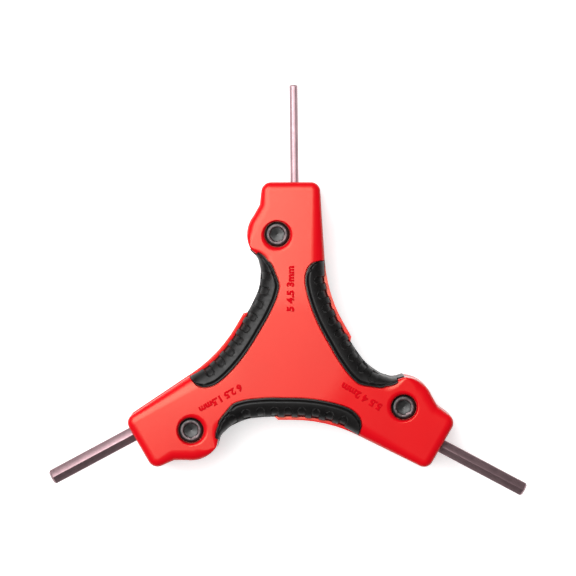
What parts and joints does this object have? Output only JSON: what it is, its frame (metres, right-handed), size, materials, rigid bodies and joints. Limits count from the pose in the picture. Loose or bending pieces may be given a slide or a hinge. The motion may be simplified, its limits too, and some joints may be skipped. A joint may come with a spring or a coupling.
{
  "type": "folding hex key set",
  "caption": "Three-armed handle with hex keys that fold out of a slot in each arm, with ribbed rubber grips between the arms.",
  "frame": {"origin": "on the rear face of the handle, under the middle of its three arms, where the handle rests", "axes": "+Z out of the front face, with the screw heads; +Y along the top arm; +X to the right of it, seen from the front"},
  "size_m": [0.1969, 0.1688, 0.0304],
  "materials": {
    "red_plastic": "satin moulded red plastic",
    "black_rubber": "matt moulded rubber",
    "black_steel": "black oxide",
    "bright_steel": "zinc plated",
    "key_steel": "satin chrome plated"
  },
  "bodies": {
    "handle": {"front_shell": "red_plastic", "rear_shell": "red_plastic", "front_grip_left": "black_rubber", "front_grip_right": "black_rubber", "front_grip_bottom": "black_rubber", "rear_grip_left": "black_rubber", "rear_grip_right": "black_rubber", "rear_grip_bottom": "black_rubber", "pivot_screw_top": "black_steel", "pivot_screw_left": "black_steel", "pivot_screw_right": "black_steel", "pivot_nut_top": "black_steel", "pivot_nut_left": "black_steel", "pivot_nut_right": "black_steel", "pivot_sleeve_top": "bright_steel", "pivot_sleeve_left": "bright_steel", "pivot_sleeve_right": "bright_steel", "front_spacer_top": "bright_steel", "front_spacer_left": "bright_steel", "front_spacer_right": "bright_steel", "rear_spacer_top": "bright_steel", "rear_spacer_left": "bright_steel", "rear_spacer_right": "bright_steel", "washer_1_top": "bright_steel", "washer_2_top": "bright_steel", "washer_1_left": "bright_steel", "washer_2_left": "bright_steel", "washer_1_right": "bright_steel", "washer_2_right": "bright_steel"},
    "key_3mm": {"hex_key_3mm": "key_steel"},
    "key_4_5mm": {"hex_key_4_5mm": "key_steel"},
    "key_5mm": {"hex_key_5mm": "key_steel"},
    "key_6mm": {"hex_key_6mm": "key_steel"},
    "key_2_5mm": {"hex_key_2_5mm": "key_steel"},
    "key_1_5mm": {"hex_key_1_5mm": "key_steel"},
    "key_5_5mm": {"hex_key_5_5mm": "key_steel"},
    "key_4mm": {"hex_key_4mm": "key_steel"},
    "key_2mm": {"hex_key_2mm": "key_steel"}
  },
  "joints": [
    {"name": "fold_3mm", "type": "hinge", "parent": "handle", "child": "key_3mm", "pos_m": [-0.0055, 0.0504, 0.02085], "axis": [0, 0, 1], "range_deg": [-145.65, 0]},
    {"name": "fold_4_5mm", "type": "hinge", "parent": "handle", "child": "key_4_5mm", "pos_m": [-0.0055, 0.0504, 0.0162], "axis": [0, 0, 1], "range_deg": [0, 145]},
    {"name": "fold_5mm", "type": "hinge", "parent": "handle", "child": "key_5mm", "pos_m": [-0.0055, 0.0504, 0.01055], "axis": [0, 0, 1], "range_deg": [0, 145]},
    {"name": "fold_6mm", "type": "hinge", "parent": "handle", "child": "key_6mm", "pos_m": [-0.0409, -0.02996, 0.0181], "axis": [0, 0, 1], "range_deg": [-143.25, 0]},
    {"name": "fold_2_5mm", "type": "hinge", "parent": "handle", "child": "key_2_5mm", "pos_m": [-0.0409, -0.02996, 0.01249], "axis": [0, 0, 1], "range_deg": [0, 145]},
    {"name": "fold_1_5mm", "type": "hinge", "parent": "handle", "child": "key_1_5mm", "pos_m": [-0.0409, -0.02996, 0.00959], "axis": [0, 0, 1], "range_deg": [0, 145]},
    {"name": "fold_5_5mm", "type": "hinge", "parent": "handle", "child": "key_5_5mm", "pos_m": [0.0464, -0.02044, 0.0191], "axis": [0, 0, 1], "range_deg": [-147.05, 0]},
    {"name": "fold_4mm", "type": "hinge", "parent": "handle", "child": "key_4mm", "pos_m": [0.0464, -0.02044, 0.01303], "axis": [0, 0, 1], "range_deg": [0, 145]},
    {"name": "fold_2mm", "type": "hinge", "parent": "handle", "child": "key_2mm", "pos_m": [0.0464, -0.02044, 0.00912], "axis": [0, 0, 1], "range_deg": [0, 145]}
  ]
}
